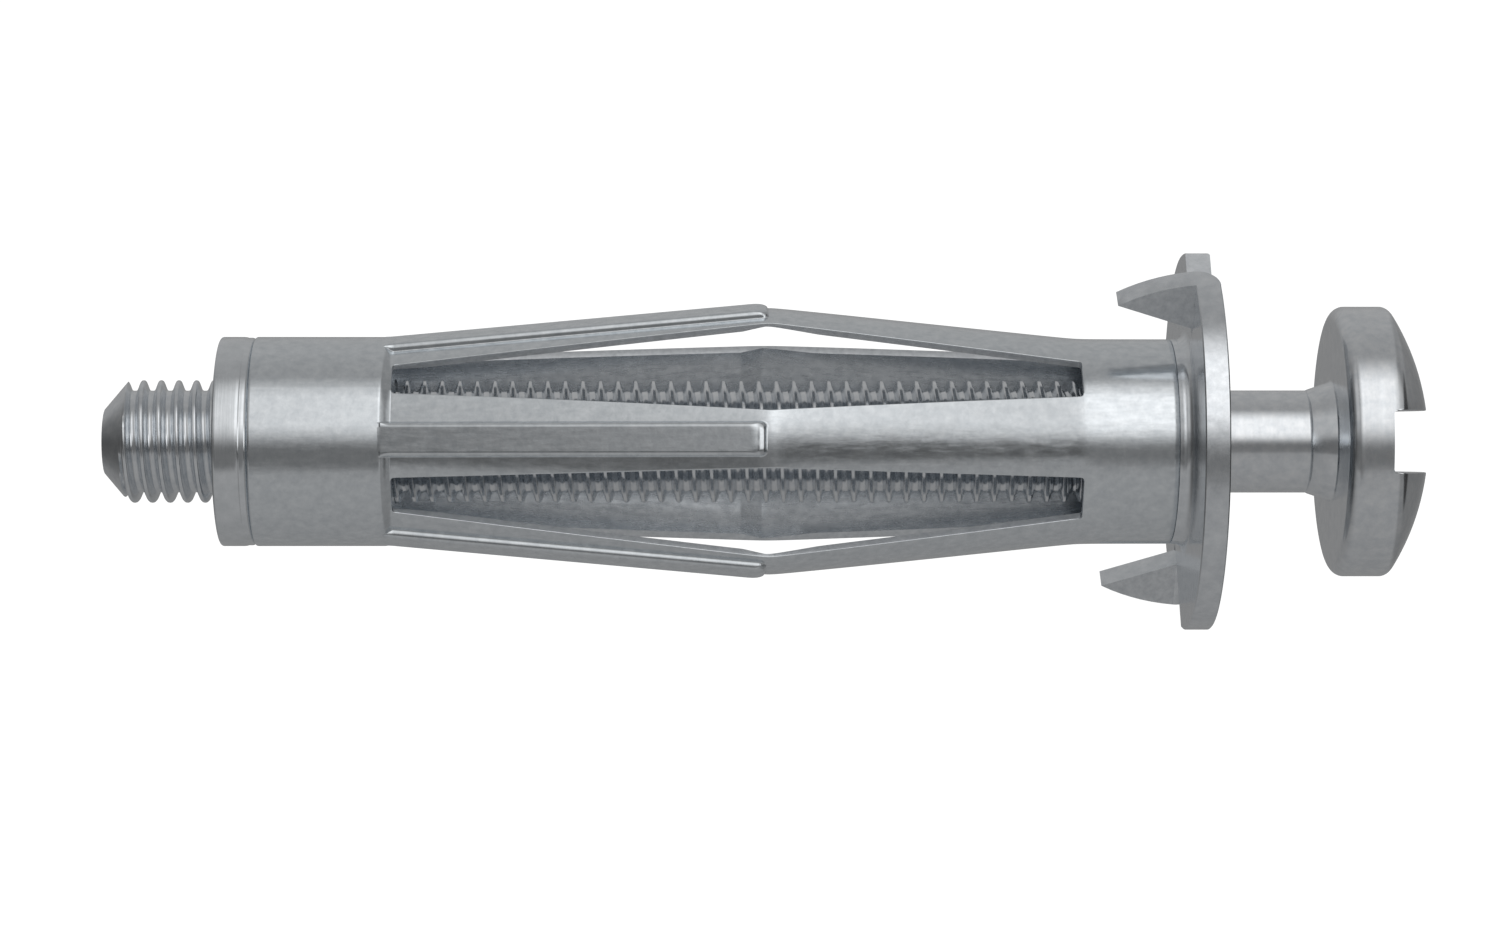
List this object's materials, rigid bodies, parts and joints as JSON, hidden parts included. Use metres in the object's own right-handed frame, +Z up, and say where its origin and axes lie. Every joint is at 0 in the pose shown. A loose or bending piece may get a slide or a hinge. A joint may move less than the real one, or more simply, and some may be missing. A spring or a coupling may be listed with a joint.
{
  "type": "hollow-wall anchor with screw",
  "caption": "Steel hollow-wall anchor: slotted sleeve with folding ribbed legs, clawed flange, threaded nut and slotted machine screw.",
  "frame": {"origin": "centre of the flange's underside, the face that meets the wall board", "axes": "+X along the screw towards its head, +Z up as the anchor lies on a surface"},
  "size_m": [0.0646, 0.0184, 0.0182],
  "materials": {
    "sleeve": "bright zinc plating, satin",
    "nut": "bright zinc plating, satin",
    "clawed_flange": "bright zinc plating, satin",
    "screw": "bright zinc plating, satin"
  },
  "bodies": {
    "anchor": {"sleeve": "sleeve", "nut": "nut", "clawed_flange": "clawed_flange"},
    "screw": {"screw": "screw"}
  },
  "joints": [
    {"name": "screw_travel", "type": "slide", "parent": "anchor", "child": "screw", "axis": [1, 0, 0], "range_m": [-0.00598, 0.01197]}
  ]
}
